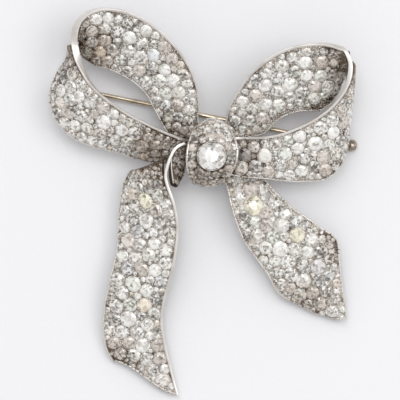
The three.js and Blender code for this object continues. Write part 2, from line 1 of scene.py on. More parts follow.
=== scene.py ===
import json
import math

import bmesh
import bpy
import numpy as np
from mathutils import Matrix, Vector
from mathutils.geometry import delaunay_2d_cdt


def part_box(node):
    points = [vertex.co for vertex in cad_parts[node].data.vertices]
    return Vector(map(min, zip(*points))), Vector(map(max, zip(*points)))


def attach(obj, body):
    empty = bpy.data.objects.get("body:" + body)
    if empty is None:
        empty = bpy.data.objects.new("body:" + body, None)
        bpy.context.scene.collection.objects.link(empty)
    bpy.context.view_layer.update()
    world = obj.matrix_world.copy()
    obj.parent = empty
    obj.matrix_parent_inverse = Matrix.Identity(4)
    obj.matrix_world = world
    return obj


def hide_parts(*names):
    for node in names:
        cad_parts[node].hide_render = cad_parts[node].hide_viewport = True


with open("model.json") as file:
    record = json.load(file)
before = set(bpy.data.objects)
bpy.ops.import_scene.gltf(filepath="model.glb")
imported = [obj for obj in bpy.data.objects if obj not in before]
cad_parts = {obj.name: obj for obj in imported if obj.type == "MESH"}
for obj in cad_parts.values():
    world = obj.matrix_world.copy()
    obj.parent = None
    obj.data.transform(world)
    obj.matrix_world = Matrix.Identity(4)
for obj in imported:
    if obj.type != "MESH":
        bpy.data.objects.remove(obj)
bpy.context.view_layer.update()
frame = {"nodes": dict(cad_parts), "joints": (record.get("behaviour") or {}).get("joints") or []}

# The looks of a diamond-set ribbon bow brooch. Lengths are in millimetres unless a name says otherwise, and
# are turned into metres where a mesh is made. Each ribbon's shape is taken from its solid in the frame.

MM = 0.001

# ------------------------------------------------------------------ the maker's sizes

SHEET = 1.2  # thickness of the pierced sheet
FOLD_SHEET = 0.9
THIN_EDGE = 0.38  # thickness of the sheet at its filed edges
CHAMFER = 1.3  # how far in from the edge the filing starts
STONE_GAP = 0.05  # metal left between two stones
EDGE_GAP = 0.22  # metal left along an edge
RIM_GAP = 0.2
MOST_GROWTH = 1.16  # how far a stone may pass its round seat, before its corners
SEAT_SHARE = 0.96  # a stone's hole over its girdle, at the front
AZURE_SHARE = 0.6  # and at the back
PLAIN_BORDER = 0.55  # below the stones of the right loop's back band
RIM_WIRE = 0.15  # radius of the rim along a lower edge
STRIP_TOP = 0.32  # how far a polished strip stands past the sheet's edge
STRIP_FOOT = -0.06

# Least and greatest radii of the stones, from the first ones laid out to the last ones squeezed in.
STONE_STEPS = [(1.0, 1.15), (0.86, 1.0), (0.72, 0.86), (0.6, 0.72), (0.48, 0.6), (0.4, 0.48), (0.28, 0.4)]
GRAIN_STEPS = [(0.14, 0.17), (0.11, 0.14)]
SPOTS = 30  # places tried for each square millimetre of sheet
FAR = 9.0  # further than any neighbour matters
FOLD_STONES = 0.62  # greatest radius of a stone on the fold
KNOT_STONES = 0.58  # and on the knot band

# The pin and its clasp, as radii unless a name says otherwise.
PIN_WIRE = 0.4
KNUCKLE_HOLE = 0.33
KNUCKLE = 0.85
KNUCKLE_HALF_WIDTH = 0.4
SLEEVE_BORE = 0.48
SLEEVE = 0.75
KNOB = 0.95
KNOB_LENGTH = 1.25

# The camera: its sensor, how far off it stands, and how wide it sees at the table.
SENSOR_WIDTH = 36
VIEW_DISTANCE = 2000
VIEW_WIDTH = 64


# ------------------------------------------------------------------ shader maths

class Mask:
    """One value of a finish. Python's operators on it add Math nodes."""

    def __init__(self, finish, socket):
        self.finish = finish
        self.socket = socket

    def blend(self, operation, first, second):
        node = self.finish.node("Math", {"operation": operation}, {0: first, 1: second})
        return Mask(self.finish, node.outputs[0])

    def __add__(self, other):
        return self.blend("ADD", self, other)

    def __sub__(self, other):
        return self.blend("SUBTRACT", self, other)

    def __rsub__(self, other):
        return self.blend("SUBTRACT", other, self)

    def __mul__(self, other):
        return self.blend("MULTIPLY", self, other)

    def __pow__(self, other):
        return self.blend("POWER", self, other)

    __radd__ = __add__
    __rmul__ = __mul__


class Finish:
    """A material under construction."""

    def __init__(self, name, slot):
        self.slot = slot
        self.material = bpy.data.materials.new(name)
        self.material.use_nodes = True
        self.tree = self.material.node_tree
        self.tree.nodes.clear()

    def node(self, kind, settings=None, inputs=None):
        made = self.tree.nodes.new("ShaderNode" + kind)
        for name, value in (settings or {}).items():
            if name == "stops":
                self.set_stops(made.color_ramp, value)
            else:
                setattr(made, name, value)
        for name, value in (inputs or {}).items():
            value = value.socket if isinstance(value, Mask) else value
            if isinstance(value, bpy.types.NodeSocket):
                self.tree.links.new(value, made.inputs[name])
            else:
                made.inputs[name].default_value = value
        return made

    @staticmethod
    def set_stops(ramp, stops):
        while len(ramp.elements) < len(stops):
            ramp.elements.new(1)
        for element, (place, colour) in zip(ramp.elements, stops):
            element.position = place
            element.color = (*colour, 1)

    def noise(self, feature, detail=2.0, stretch=(1, 1, 1)):
        """Soft noise over the metal, with features about so many millimetres across."""
        place = self.node("TexCoord").outputs["Object"]
        pulled = self.node("VectorMath", {"operation": "MULTIPLY"}, {0: place, 1: stretch})
        made = self.node("TexNoise", None,
                         {"Vector": pulled.outputs[0], "Scale": 1 / (feature * MM), "Detail": detail})
        return Mask(self, made.outputs[0])

    def ramp(self, value, stops, steps="LINEAR"):
        made = self.node("ValToRGB", {"stops": stops}, {0: value})
        made.color_ramp.interpolation = steps
        return made.outputs[0]

    def bump(self, height, depth, strength=1.0):
        made = self.node("Bump", None, {"Strength": strength, "Distance": depth * MM, "Height": height})
        return made.outputs[0]

    def surface(self, **inputs):
        named = {name.replace("_", " "): value for name, value in inputs.items()}
        shader = self.node("BsdfPrincipled", None, named)
        self.node("OutputMaterial", None, {"Surface": shader.outputs[0]})
        return self


def shade_and_tarnish_mask(finish):
    """Where painted shade gathers, with some real tarnish and soiling, from 0 to 1: round the knot and inside
    the turn of each loop.
    """
    place = finish.node("TexCoord").outputs["Object"]
    total = 0.0
    for middle, reach, amount in PAINTED_SHADE_AND_TARNISH_SPOTS:
        away = finish.node("VectorMath", {"operation": "DISTANCE"}, {0: place, 1: [x * MM for x in middle]})
        near = finish.node("MapRange", {"interpolation_type": "SMOOTHSTEP"},
                           {"Value": away.outputs["Value"], "From Min": reach * MM,
                            "From Max": reach * 0.35 * MM})
        total = Mask(finish, near.outputs[0]) * amount + total
    return total


def worn_silver(name, slot, dark, pale, gloss, patch=1.6, painted_shade_and_soiling=0.0, scratch_depth=0.03):
    """Silver with soft darker patches of tarnish, fine scratches and small dents."""
    finish = Finish(name, slot)
    tarnish = finish.noise(patch, 5.0)
    grain = finish.noise(0.16, 3.0)
    scratches = finish.noise(0.22, 4.0, (1.0, 0.12, 0.4))
    level = tarnish * 0.7 + grain * 0.3
    # Painted shade, with some real tarnish: the silver is darker round the knot and inside the turn of each
    # loop.
    if painted_shade_and_soiling:
        level = level - shade_and_tarnish_mask(finish) * painted_shade_and_soiling
    colour = finish.ramp(level, [(0.36, dark), (0.54, pale), (0.8, pale)])
    return finish.surface(
        Base_Color=colour,
        Metallic=1.0,
        Roughness=gloss + 0.22 * tarnish * scratches + 0.1 * grain,
        Normal=finish.bump(scratches * 0.6 + grain * 0.4, scratch_depth, 0.35),
    )


def pale_gold_finish():
    finish = Finish("pale_gold_wire", "pale_gold")
    handling = finish.noise(2.2, 4.0)
    scratches = finish.noise(0.2, 4.0, (0.1, 1.0, 1.0))
    colour = finish.ramp(handling, [(0.3, (0.34, 0.28, 0.21)), (0.5, (0.58, 0.50, 0.39)),
                                    (0.75, (0.72, 0.65, 0.54))])
    return finish.surface(
        Base_Color=colour,
        Metallic=1.0,
        Roughness=0.16 + 0.2 * handling * scratches,
        Normal=finish.bump(scratches, 0.02, 0.3),
    )


def diamond_finish(name, tints, painted_reflection_size=0.42, lift=0.0, painted_shade_and_soiling_share=1.0):
    """Old-cut diamond: painted reflections under each facet, from near black to white, and each stone its own
    faint tint.
    """
    finish = Finish(name, "diamond")
    geometry = finish.node("NewGeometry")
    own = Mask(finish, geometry.outputs["Random Per Island"])
    turned = finish.node("VectorMath", {"operation": "SCALE"},
                         {0: geometry.outputs["True Normal"], "Scale": 5.0})
    # Painted reflections: each facet's base colour is set by the way it faces, standing in for what a diamond
    # reflects.
    facets = finish.node("TexNoise", {"noise_dimensions": "4D"},
                         {"Vector": turned.outputs[0], "W": own * 60.0, "Scale": 1.0, "Detail": 1.0})
    place = finish.node("TexCoord").outputs["Object"]
    cells = finish.node("TexVoronoi", None, {"Vector": place, "Scale": 1 / (painted_reflection_size * MM)})
    cell = finish.node("SeparateColor", None, {0: cells.outputs["Color"]})
    painted_reflection_cell = Mask(finish, cell.outputs[0])
    # Painted shade, with some real soiling: the stones are darker round the knot and inside the turn of each
    # loop.
    painted_shade_and_soiling = shade_and_tarnish_mask(finish) * painted_shade_and_soiling_share
    # The painted reflection tone comes from the facet's direction, its cell and its stone. Lift raises it for
    # brighter painted reflections, and painted shade lowers it.
    painted_reflection_tone = Mask(finish, facets.outputs[0]) * 0.55 + painted_reflection_cell * 0.3 + own * 0.12 + lift - painted_shade_and_soiling * 0.06
    painted_reflection_colour = finish.ramp(painted_reflection_tone, [(0.28, (0.10, 0.09, 0.08)), (0.38, (0.36, 0.34, 0.32)),
                              (0.47, (0.64, 0.62, 0.60)), (0.57, (0.88, 0.87, 0.86)), (0.70, (1.0, 1.0, 1.0))])
    tint = finish.ramp(own, [(k / len(tints), tint) for k, tint in enumerate(tints)], "CONSTANT")
    colour = finish.node("Mix", {"data_type": "RGBA", "blend_type": "MULTIPLY"}, {0: 1.0, 6: painted_reflection_colour, 7: tint})
    # The stones are also browner there, from the same painted shade and soiling.
    colour = finish.node("Mix", {"data_type": "RGBA", "blend_type": "MULTIPLY"},
                         {0: painted_shade_and_soiling * 0.5, 6: colour.outputs[2], 7: (0.62, 0.5, 0.4, 1.0)})
    return finish.surface(
        Base_Color=colour.outputs[2],
        Roughness=0.05 + 0.12 * painted_reflection_cell,
        IOR=2.1,
    )


CLEAR = (0.96, 0.955, 0.94)
TINTS = [
    CLEAR, (0.93, 0.92, 0.87), (0.90, 0.92, 0.93), CLEAR, (0.95, 0.92, 0.85), (0.91, 0.94, 0.90), CLEAR,
    (0.92, 0.89, 0.86), (0.98, 0.98, 0.97), (0.86, 0.84, 0.82), CLEAR, (0.93, 0.91, 0.87),
    (0.88, 0.80, 0.70), (0.94, 0.94, 0.91), (0.74, 0.69, 0.64), (0.95, 0.94, 0.92),
]


# ------------------------------------------------------------------ making pieces

def piece(name, points, faces, finish, body="bow", smooth_angle=None, outward=True):
    """A closed piece of the brooch, from points in millimetres."""
    mesh = bpy.data.meshes.new(name)
    mesh.from_pydata((np.asarray(points) * MM).tolist(), [], faces)
    if outward:
        work = bmesh.new()
        work.from_mesh(mesh)
        bmesh.ops.recalc_face_normals(work, faces=work.faces)
        work.to_mesh(mesh)
        work.free()
    if smooth_angle is not None:
        mesh.shade_smooth()
        mesh.set_sharp_from_angle(angle=math.radians(smooth_angle))
    mesh.materials.append(finish.material)
    made = bpy.data.objects.new(name, mesh)
    bpy.context.scene.collection.objects.link(made)
    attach(made, body)
    return made


def unit(vectors):
    return vectors / np.linalg.norm(vectors, axis=-1, keepdims=True)


def through(points, share):
    """Points on the smooth curve through these points, at shares of it from 0 to 1."""
    last = len(points) - 1
    place = np.clip(share, 0, 1) * last
    start = np.minimum(place.astype(int), last - 1)
    t = (place - start)[:, None]
    row = np.vstack([2 * points[0] - points[1], points, 2 * points[-1] - points[-2]])
    a, b, c, d = row[start], row[start + 1], row[start + 2], row[start + 3]
    bend, twist = 2 * a - 5 * b + 4 * c - d, 3 * b - a - 3 * c + d
    return 0.5 * (2 * b + (c - a) * t + bend * t ** 2 + twist * t ** 3)


def sweep(path, sides, rises, section):
    """A bar of the given section along a path: points and faces, closed at both ends."""
    around = len(section)
    lines = [path[:, None] + sides[:, None] * a + rises[:, None] * b for a, b in section]
    points = np.concatenate(lines, axis=1)
    faces = []
    for i in range(len(path) - 1):
        for k in range(around):
            a, b = i * around + k, i * around + (k + 1) % around
            faces.append((a, b, b + around, a + around))
    faces.append(tuple(range(around)))
    faces.append(tuple(range((len(path) - 1) * around, len(path) * around)))
    return points.reshape(-1, 3), faces


def lathe(profile, segments):
    """A turned shape about +X from (position, radius) pairs that start and end on the axis."""
    points = [(profile[0][0], 0.0, 0.0)]
    for x, radius in profile[1:-1]:
        for k in range(segments):
            angle = 2 * math.pi * k / segments
            points.append((x, radius * math.cos(angle), radius * math.sin(angle)))
    points.append((profile[-1][0], 0.0, 0.0))
    rings = len(profile) - 2
    at = lambda ring, k: 1 + ring * segments + k % segments
    faces = [(0, at(0, k + 1), at(0, k)) for k in range(segments)]
    for ring in range(rings - 1):
        faces += [(at(ring, k), at(ring, k + 1), at(ring + 1, k + 1), at(ring + 1, k))
                  for k in range(segments)]
    faces += [(len(points) - 1, at(rings - 1, k), at(rings - 1, k + 1)) for k in range(segments)]
    return np.array(points), faces


def ring_faces(rings, segments):
    """The faces of a turned ring whose section is a closed loop of so many points."""
    return [(i * segments + k, i * segments + (k + 1) % segments,
             (i + 1) % rings * segments + (k + 1) % segments, (i + 1) % rings * segments + k)
            for i in range(rings) for k in range(segments)]


# ------------------------------------------------------------------ ribbons, from their solids

def node_points(node):
    return np.array([vertex.co for vertex in frame["nodes"][node].data.vertices]) / MM


def back_outline(node):
    """The corners round the back of a sheet, in order, and the steps along it."""
    sheet = bmesh.new()
    sheet.from_mesh(frame["nodes"][node].data)
    bmesh.ops.remove_doubles(sheet, verts=sheet.verts, dist=2e-6)
    sheet.normal_update()
    seen, patches = set(), []
    for first in sheet.faces:
        if first in seen:
            continue
        seen.add(first)
        patch = [first]
        for face in patch:
            for edge in face.edges:
                if len(edge.link_faces) == 2 and edge.calc_face_angle() < math.radians(40):
                    fresh = [other for other in edge.link_faces if other not in seen]
                    seen.update(fresh)
                    patch += fresh
        patches.append(patch)
    back = set(min(patches, key=lambda patch: sum(face.calc_area() * face.normal.z for face in patch)))
    rim = {edge for edge in sheet.edges if sum(face in back for face in edge.link_faces) == 1}
    loops = []
    while rim:
        edge = min(rim, key=lambda e: e.index)
        rim.remove(edge)
        loop = [edge.verts[0], edge.verts[1]]
        while loop[-1] != loop[0]:
            edge = min((e for e in loop[-1].link_edges if e in rim), key=lambda e: e.index)
            rim.remove(edge)
            loop.append(edge.other_vert(loop[-1]))
        loops.append(np.array([vertex.co for vertex in loop[:-1]]) / MM)
    sheet.free()
    return max(loops, key=lambda points: np.ptp(points, axis=0).sum())


knot_middle = np.array([sum(pair) / 2 for pair in zip(*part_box("centre_collet"))]) / MM
ACROSS = 4  # facets across each solid ribbon
WAVE_REACH = 8  # higher keeps the swing of a tail's end nearer to the end
SLACK = 3  # how many points an outline may have lost or gained


def rails(node, steps):
    """The two long edges of a sheet's back, from the knot outwards, the higher one first."""
    loop = back_outline(node)
    count = len(loop)
    ahead = unit(np.roll(loop, -1, axis=0) - loop)
    turn = 1 - (ahead * np.roll(ahead, 1, axis=0)).sum(axis=1)
    best = (-1, None)
    for start in range(count):
        for first in range(steps - SLACK, steps + SLACK + 1):
            for short in range(ACROSS - 1, ACROSS + 2):
                for second in range(steps - SLACK, steps + SLACK + 1):
                    if abs(count - first - short - second - ACROSS) > 1:
                        continue
                    marks = [start, start + first, start + first + short, start + first + short + second]
                    score = sum(turn[mark % count] for mark in marks)
                    if score > best[0] + 1e-9:
                        best = (score, marks)
    a, b, c, d = best[1]
    first = loop[[k % count for k in range(a, b + 1)]]
    second = loop[[k % count for k in range(c, d + 1)]][::-1]
    if second[:, 2].mean() > first[:, 2].mean():
        first, second = second, first
    near, far = (np.linalg.norm(first[end] - knot_middle) for end in (0, -1))
    if node != "knot_band" and near > far:
        first, second = first[::-1], second[::-1]
    return first, second


class Ribbon:
    """A curved sheet: u runs along it from the knot, v across it from its higher edge."""

    def __init__(self, node, steps, bulge, sheet=SHEET, turn_width=0.78, wave=0.0, last_slope=1.0, reach=0.0):
        self.node = node
        self.turn_width = turn_width
        self.upper, self.lower = rails(node, steps)
        self.bulge = bulge
        self.last_slope = last_slope
        tail = np.clip(np.linspace(-1.5, 1, len(self.lower)), 0, 1)[:, None]
        self.lower = self.lower + tail * reach * np.array([1.0, -0.4, 0.0])
        self.wave = unit(self.upper[-1] - self.upper[-2] + self.lower[-1] - self.lower[-2]) * wave
        self.sheet = sheet
        self.side = 1
        if self.normals(np.array([0.5]), np.array([0.5]))[0, 2] < 0:
            self.side = -1
        middle = self.face(np.linspace(0, 1, 90), np.full(90, 0.5))
        self.length = np.linalg.norm(np.diff(middle, axis=0), axis=1).sum()
        self.width = np.linalg.norm(self.upper.mean(axis=0) - self.lower.mean(axis=0))

    def flat(self, u, v):
        curl = np.sin(2 * math.pi * v) * u ** WAVE_REACH
        v = v[:, None]
        return through(self.upper, u) * (1 - v) + through(self.lower, u) * v + curl[:, None] * self.wave

    def slopes(self, surface, u, v):
        step = 2e-3
        u0, u1 = np.clip(u - step, 0, 1), np.clip(u + step, 0, 1)
        v0, v1 = np.clip(v - step, 0, 1), np.clip(v + step, 0, 1)
        along = (surface(u1, v) - surface(u0, v)) / (u1 - u0)[:, None]
        across = (surface(u, v1) - surface(u, v0)) / (v1 - v0)[:, None]
        return along, across

    def normal_of(self, surface, u, v):
        along, across = self.slopes(surface, np.minimum(u, self.last_slope), v)
        return unit(np.cross(along, across)) * self.side

    def back(self, u, v):
        lift = (self.bulge * 4 * v * (1 - v))[:, None]
        return self.flat(u, v) + self.normal_of(self.flat, u, v) * lift

    def normals(self, u, v):
        return self.normal_of(self.back, u, v)

    def edge_width(self, u):
        """The width of the sheet's high edge, which is filed thinner from behind away from a broad turn."""
        broad = np.clip((u - 0.5) / 0.4, 0, 1)
        return THIN_EDGE + (self.turn_width - THIN_EDGE) * broad * broad * (3 - 2 * broad)

    def under(self, u, v):
        """Points on the back of the sheet as filed."""
        low = np.clip((1 - v) * self.width / CHAMFER, 0, 1)
        high = np.clip(v * self.width / CHAMFER, 0, 1)
        filed = (self.sheet - self.edge_width(u)) * (1 - high) + (self.sheet - THIN_EDGE) * (1 - low)
        return self.back(u, v) + self.normals(u, v) * filed[:, None]

    def face(self, u, v, height=0.0):
        """Points at a height above the sheet's face."""
        return self.back(u, v) + self.normals(u, v) * (self.sheet + height)

    def outline(self, step):
        """Points round the sheet's edge, as rows of u and v."""
        along, across = max(4, round(self.length / step)), max(3, round(self.width / step))
        go, cross = np.arange(along) / along, np.arange(across) / across
        return np.concatenate([
            np.stack([go, np.zeros(along)], 1), np.stack([np.ones(across), cross], 1),
            np.stack([1 - go, np.ones(along)], 1), np.stack([np.zeros(across), 1 - cross], 1)])

    def locate(self, point):
        """The u and v of the place on the face nearest to a point."""
        reach, u, v = 0.5, 0.5, 0.5
        while reach > 1e-3:
            near_u, near_v = np.linspace(u - reach, u + reach, 25), np.linspace(v - reach, v + reach, 25)
            grid_u, grid_v = np.meshgrid(near_u, near_v)
            grid_u, grid_v = np.clip(grid_u.ravel(), 0, 1), np.clip(grid_v.ravel(), 0, 1)
            nearest = np.argmin(np.linalg.norm(self.face(grid_u, grid_v) - point, axis=1))
            u, v, reach = grid_u[nearest], grid_v[nearest], reach * 0.25
        return u, v

    def rings(self, centres, radii, corners):
        """The u and v of circles of true radius about places on the face."""
        u, v = centres[:, 0], centres[:, 1]
        along, across = self.slopes(self.face, u, v)
        first = unit(along)
        second = np.cross(self.normals(u, v), first)
        angle = np.arange(corners) * 2 * math.pi / corners
        cosine, sine = np.cos(angle)[None, :, None], np.sin(angle)[None, :, None]
        offsets = first[:, None] * cosine + second[:, None] * sine
        offsets = offsets * np.asarray(radii)[:, None, None]
        aa, ab, bb = (along * along).sum(1), (along * across).sum(1), (across * across).sum(1)
        pa, pb = (offsets * along[:, None]).sum(2), (offsets * across[:, None]).sum(2)
        spread = (aa * bb - ab * ab)[:, None]
        du = (pa * bb[:, None] - pb * ab[:, None]) / spread
        dv = (pb * aa[:, None] - pa * ab[:, None]) / spread
        return np.clip(np.stack([u[:, None] + du, v[:, None] + dv], 2), 0.002, 0.998)


# ------------------------------------------------------------------ laying out and cutting stones

def lay_out(ribbon, steps, keep_off, gap, edge_gap, cap, seed):
    """Places for round things on a ribbon's face, each snug by its neighbours: rows of u, v and radius."""
    rng = np.random.default_rng(seed)
    spots = rng.random((int(SPOTS * ribbon.length * ribbon.width), 2))
    points = ribbon.face(spots[:, 0], spots[:, 1])
    edge = ribbon.outline(0.5)
    edge = ribbon.face(edge[:, 0], edge[:, 1])
    nearest = np.linalg.norm(points[:, None] - edge[None], axis=2).min(axis=1) - edge_gap + gap
    second = np.full(len(points), FAR)
    limit = cap(spots[:, 0], spots[:, 1]) * rng.uniform(0.8, 1.15, len(points))
    placed = []

    def add_neighbour(point, radius):
        room = np.linalg.norm(points - point, axis=1) - radius
        np.copyto(second, np.minimum(second, np.maximum(nearest, room)))
        np.copyto(nearest, np.minimum(nearest, room))

    for middle, radius in keep_off:
        add_neighbour(middle, radius)
    for least, most in steps:
        while True:
            fits = np.flatnonzero((nearest - gap >= least) & (limit >= least))
            if len(fits) == 0:
                break
            best = fits[np.argmin(nearest[fits] + 0.6 * np.minimum(second[fits], 2.5 * most))]
            radius = min(nearest[best] - gap, most)
            placed.append((*spots[best], radius))
            add_neighbour(points[best], radius)
    return np.array(placed).reshape(-1, 3)


def cut_stone(outline, table, rng):
    """An old cut's points and faces, its girdle at height 0. The outline is its reach at even angles."""
    sides = len(outline) // 2
    width = 2 * outline.mean()
    crown, depth = rng.uniform(0.1, 0.15) * width, rng.uniform(0.3, 0.38) * width
    angles = np.arange(2 * sides) * math.pi / sides
    girdle_ring = np.stack([outline * np.cos(angles), outline * np.sin(angles), np.zeros(2 * sides)], 1)

    def ring(start, share, z):
        return girdle_ring[start::2] * share + [0, 0, z]

    points = np.concatenate([ring(0, table, crown), ring(1, (1 + table) / 2, crown * 0.62), girdle_ring,
                             ring(1, 0.4, -depth * 0.64), [[0, 0, -depth]]])
    top = lambda k: k % sides
    star = lambda k: sides + k % sides
    girdle = lambda k: 2 * sides + k % (2 * sides)
    low = lambda k: 4 * sides + k % sides
    culet = 5 * sides
    faces = [tuple(range(sides))]
    for k in range(sides):
        faces += [(top(k), star(k), top(k + 1)), (top(k), star(k - 1), girdle(2 * k), star(k)),
                  (star(k), girdle(2 * k), girdle(2 * k + 1)),
                  (star(k), girdle(2 * k + 1), girdle(2 * k + 2)),
                  (culet, low(k), girdle(2 * k), low(k - 1)), (low(k), girdle(2 * k + 1), girdle(2 * k)),
                  (low(k), girdle(2 * k + 2), girdle(2 * k + 1))]
    return points, faces


def cushion(angles, power):
    """The outline of a cushion that is 1 across its flats: 2 is round, more is squarer."""
    return (abs(np.cos(angles)) ** power + abs(np.sin(angles)) ** power) ** (-1 / power)


def grow_outline(reach, others, reaches, walls, corners, lean, power):
    """How far a stone grows each way from its middle before it meets its neighbours or the ribbon's edge."""
    angles = np.arange(corners) * 2 * math.pi / corners
    apart = np.linalg.norm(others, axis=1)
    shared = (apart ** 2 + reach ** 2 - reaches ** 2) / (2 * apart)
    bounds = np.minimum(shared, apart - reaches * 0.97) - STONE_GAP / 2
    met = np.concatenate([others, walls])
    ways = np.arctan2(met[:, 1], met[:, 0])
    bounds = np.concatenate([bounds, np.linalg.norm(walls, axis=1) - RIM_GAP])
    facing = np.cos(angles[:, None] - ways[None])
    limits = np.where(facing > 0.3, np.maximum(bounds, 0.75 * reach)[None] / np.maximum(facing, 0.3), FAR)
    outline = np.minimum(limits.min(axis=1), cushion(angles - lean, power) * MOST_GROWTH * reach)
    return outline * 0.7 + (np.roll(outline, 1) + np.roll(outline, -1)) * 0.15


def set_stones(key, ribbon, holes, named, rng):
    """The stones of one ribbon, each shaped to fill its place and tilted a little its own way."""
    u, v, radii = holes.T
    seats, up = ribbon.face(u, v, 0.02), ribbon.normals(u, v)
    ways = unit(ribbon.slopes(ribbon.face, u, v)[0])
    edge = ribbon.outline(0.3)
    edge = ribbon.face(edge[:, 0], edge[:, 1])
    all_points, all_faces, count = [], [], 0
    for i in range(len(holes)):
        normal = unit(up[i] + rng.normal(0, 0.03, 3))
        ahead = unit(ways[i] - normal * (ways[i] @ normal))
        axes = np.stack([ahead, np.cross(normal, ahead), normal])
        corners = 16 if radii[i] > 0.42 else 12
        near = (np.linalg.norm(seats - seats[i], axis=1) < 3.4) & (np.arange(len(holes)) != i)
        walls = edge[np.linalg.norm(edge - seats[i], axis=1) < 2.0]
        flat = ((seats[near] - seats[i]) @ axes.T)[:, :2]
        wall = ((walls - seats[i]) @ axes.T)[:, :2]
        lean, power = rng.normal(0, 0.25), rng.uniform(2.2, 5.5)
        outline = grow_outline(radii[i], flat, radii[near], wall, corners, lean, power)
        points, faces = cut_stone(outline, rng.uniform(0.46, 0.62), rng)
        points = seats[i] + points @ axes
        if i < len(named):
            stone = piece(named[i].replace("diamond", "cushion"), points, faces, stone_finish(named[i]))
            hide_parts(named[i])
            continue
        all_points.append(points)
        all_faces += [tuple(k + count for k in face) for face in faces]
        count += len(points)
    piece(key + "_small_stones", np.concatenate(all_points), all_faces, small_diamond)


BALL = bmesh.new()
bmesh.ops.create_icosphere(BALL, subdivisions=1, radius=1.0)
BALL_POINTS = np.array([vertex.co for vertex in BALL.verts])
BALL_FACES = [tuple(vertex.index for vertex in face.verts) for face in BALL.faces]
BALL.free()


def ball_faces(count):
    """The faces of so many balls, one after another."""
    return [tuple(k + i * len(BALL_POINTS) for k in face) for i in range(count) for face in BALL_FACES]


def raise_grains(name, ribbon, places, finish, squat=0.7):
    """The raised grains of metal that hold the stones."""
    u, v, radii = places.T
    seats, up = ribbon.face(u, v, 0.03), ribbon.normals(u, v)
    points = BALL_POINTS[None] * radii[:, None, None]
    lean = (points * up[:, None]).sum(2, keepdims=True) * up[:, None]
    points = seats[:, None] + points + lean * squat
    faces = ball_faces(len(places))
    return piece(name, points.reshape(-1, 3), faces, finish, smooth_angle=70, outward=False)


def pierced_sheet(name, ribbon, holes, finish, corners=14, spacing=0.9):
    """The sheet with a tapering hole right through it under every stone."""
    outline = ribbon.outline(0.55)
    rings = ribbon.rings(holes[:, :2], holes[:, 2] * SEAT_SHARE, corners)
    middles = ribbon.face(holes[:, 0], holes[:, 1])
    rows, columns = int(ribbon.length / spacing), int(ribbon.width / spacing)
    grid = np.stack(np.meshgrid(np.arange(1, rows) / rows, np.arange(1, columns) / columns), 2).reshape(-1, 2)
    spots = ribbon.face(grid[:, 0], grid[:, 1])
    clear = (np.linalg.norm(spots[:, None] - middles[None], axis=2) - holes[None, :, 2]).min(axis=1) > 0.12
    places = np.concatenate([outline, rings.reshape(-1, 2), grid[clear]])
    scale = np.array([ribbon.length, ribbon.width])
    edge = len(outline)
    links = [(k, (k + 1) % edge) for k in range(edge)]
    for i in range(len(holes)):
        loop = [edge + i * corners + k for k in range(corners)]
        links += [(loop[k], loop[(k + 1) % corners]) for k in range(corners)]
    flat = [Vector(place) for place in places * scale]
    met, _, triangles, sources, _, _ = delaunay_2d_cdt(flat, links, [], 0, 1e-7)
    front_places = np.array(met) / scale
    source = np.array([found[0] if found else -1 for found in sources])
    ring_end = edge + len(holes) * corners
    ringed = (source >= edge) & (source < ring_end)
    owner = np.where(ringed, (source - edge) // corners, -1)
    back_places = front_places.copy()
    pull = holes[owner[ringed], :2]
    back_places[ringed] = pull + (front_places[ringed] - pull) * AZURE_SHARE
    front = ribbon.face(*front_places.T)
    back = ribbon.under(*back_places.T)
    triangles = np.array([tuple(t) for t in triangles])
    centroids = front[triangles].mean(axis=1)
    inside = (np.linalg.norm(centroids[:, None] - middles[None], axis=2)
              < holes[None, :, 2] * SEAT_SHARE * 0.95).any(axis=1)
    owners = owner[triangles]
    inside |= (owners[:, 0] >= 0) & (owners[:, 0] == owners[:, 1]) & (owners[:, 1] == owners[:, 2])
    kept = [tuple(int(k) for k in t) for t in triangles[~inside]]
    shift = len(front)
    faces = kept + [(a + shift, c + shift, b + shift) for a, b, c in kept]
    sides = {}
    for t in kept:
        for k in range(3):
            pair = (t[k], t[(k + 1) % 3])
            if pair[::-1] in sides:
                del sides[pair[::-1]]
            else:
                sides[pair] = True
    faces += [(b, a, a + shift, b + shift) for a, b in sides]
    made = piece(name, np.concatenate([front, back]), faces, finish, smooth_angle=35)
    made.data.materials.append(back_silver.material)
    for face in made.data.polygons:
        face.material_index = int(min(face.vertices) >= shift)
    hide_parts(ribbon.node)
    return made


def girdle(stone):
    """The middle and radius of a stone of the frame."""
    points = node_points(stone)
    span = np.linalg.norm(points[:, None] - points[None], axis=2)
    return points.mean(axis=0), span.max() / 2


def rim_wire(name, ribbon, turns, finish, radius=RIM_WIRE, height=-0.12):
    """A thin round wire along a ribbon's edge, through rows of u and v."""
    turns = np.asarray(turns, float)
    legs = np.linalg.norm(np.diff(turns * [ribbon.length, ribbon.width], axis=0), axis=1)
    share = np.concatenate([[0], np.cumsum(legs)]) / legs.sum()
    at = np.linspace(0, 1, int(legs.sum() / 0.45))
    u, v = np.interp(at, share, turns[:, 0]), np.interp(at, share, turns[:, 1])
    path = ribbon.face(u, v, height)
    sides = ribbon.normals(u, v)
    ahead = unit(np.gradient(path, axis=0))
    rises = unit(np.cross(ahead, sides))
    section = [(radius * math.cos(k * math.pi / 5), radius * math.sin(k * math.pi / 5)) for k in range(10)]
    points, faces = sweep(path, sides, rises, section)
    return piece(name, points, faces, finish, smooth_angle=60)


def soften(rows, times):
    """Smooths a row of points or directions, keeping its ends."""
    for _ in range(times):
        rows[1:-1] = rows[1:-1] * 0.5 + (rows[:-2] + rows[2:]) * 0.25
    return rows


def strip_section(half, low, high, corner):
    """A flat-sided strip with a rounded top. A corner is so many half widths wide, and half as many mm high."""
    arc = [(math.cos(k * math.pi / 8), math.sin(k * math.pi / 8)) for k in range(5)]
    right = [(half - corner + corner * c, high + corner / 2 * (s - 1)) for c, s in arc]
    left = [(-a, b) for a, b in reversed(right)]
    return [(half, low)] + right + left + [(-half, low)]


# ------------------------------------------------------------------ the ribbons of the bow

